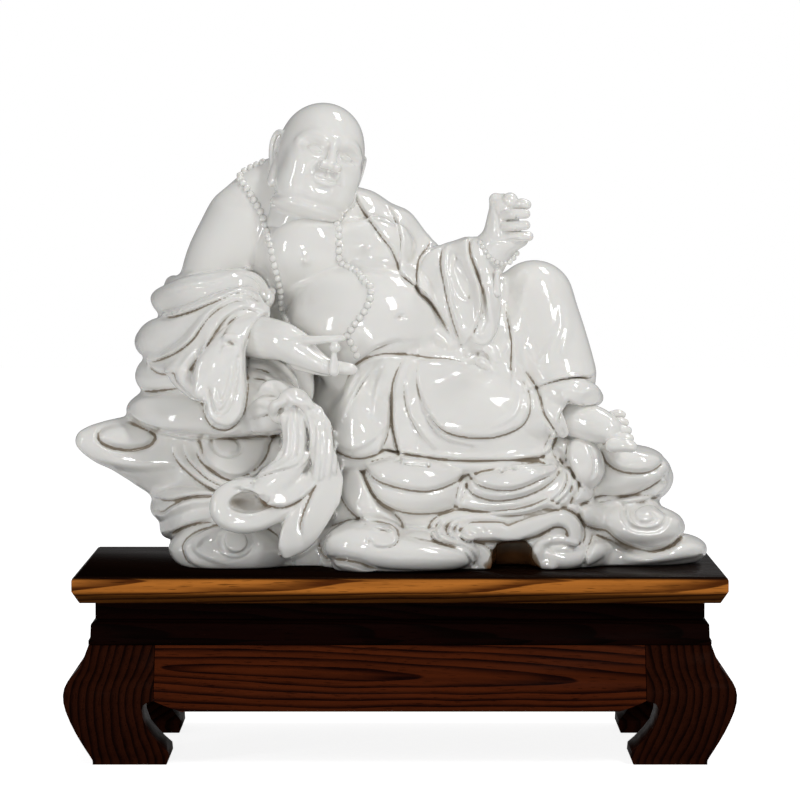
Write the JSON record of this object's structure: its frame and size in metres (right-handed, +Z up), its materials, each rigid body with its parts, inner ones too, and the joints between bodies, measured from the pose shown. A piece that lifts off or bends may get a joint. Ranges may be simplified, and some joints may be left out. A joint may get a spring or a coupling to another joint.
{
  "type": "budai figure on stand",
  "caption": "Glazed white porcelain figure of a seated laughing monk leaning on a tied bag above scrolled clouds, on a carved hardwood stand with bowed aprons and turned-in feet.",
  "frame": {"origin": "centre of the stand's footprint, on the floor", "axes": "+Z up, the figure faces -Y, +X is the viewer's right"},
  "size_m": [0.451, 0.251, 0.4471],
  "materials": {
    "porcelain": "clear gloss glaze over ivory-white porcelain",
    "stand_wood": "polished dark red-brown hardwood",
    "stand_waist_wood": "near-black polished hardwood"
  },
  "bodies": {
    "root": {"budai_figure": "porcelain", "stand_top_board": "stand_wood", "stand_waist_front": "stand_waist_wood", "stand_waist_back": "stand_waist_wood", "stand_waist_right": "stand_waist_wood", "stand_waist_left": "stand_waist_wood", "stand_moulding_front": "stand_waist_wood", "stand_moulding_back": "stand_waist_wood", "stand_moulding_right": "stand_waist_wood", "stand_moulding_left": "stand_waist_wood", "stand_apron_front": "stand_wood", "stand_apron_back": "stand_wood", "stand_apron_right": "stand_wood", "stand_apron_left": "stand_wood", "stand_leg_front_right": "stand_wood", "stand_leg_back_right": "stand_wood", "stand_leg_back_left": "stand_wood", "stand_leg_front_left": "stand_wood"}
  },
  "joints": []
}
